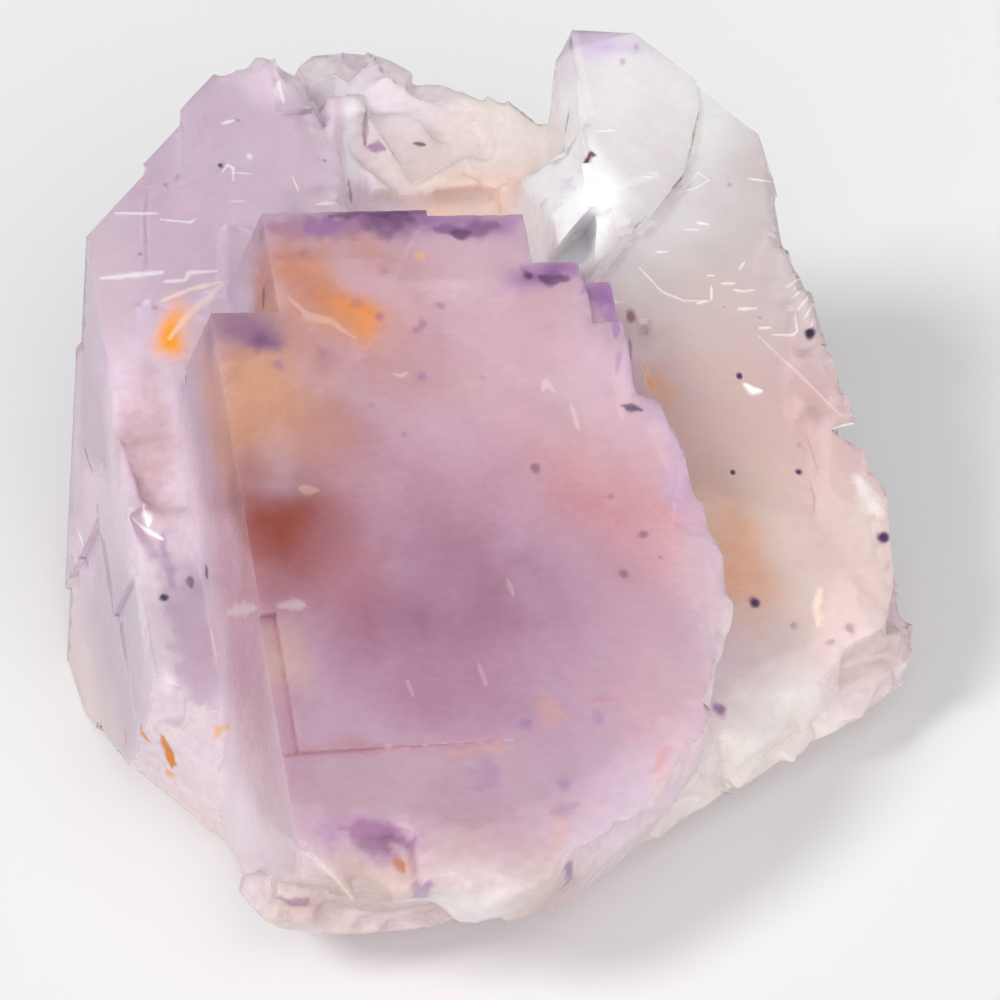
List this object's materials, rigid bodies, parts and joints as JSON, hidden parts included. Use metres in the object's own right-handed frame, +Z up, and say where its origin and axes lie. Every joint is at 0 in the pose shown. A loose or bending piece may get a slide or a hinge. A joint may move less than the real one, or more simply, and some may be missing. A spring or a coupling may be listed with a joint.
{
  "type": "fluorite crystal cluster",
  "caption": "Hand specimen of clear pale violet cuboidal fluorite: cubic crystals grown together, with stepped edges and cleaved sides, resting on a flat cleaved base.",
  "frame": {"origin": "centre of the bounding box in plan, on the surface that the stone rests on", "axes": "+Z up, +Y away from the viewer along the length of the main crystal, +X to the right across its main face"},
  "size_m": [0.063, 0.0774, 0.038],
  "materials": {
    "fluorite": "clear pale violet crystal with smooth cube faces, stepped cleavage and rough broken edges"
  },
  "bodies": {
    "root": {"fluorite_crystals": "fluorite"}
  },
  "joints": []
}
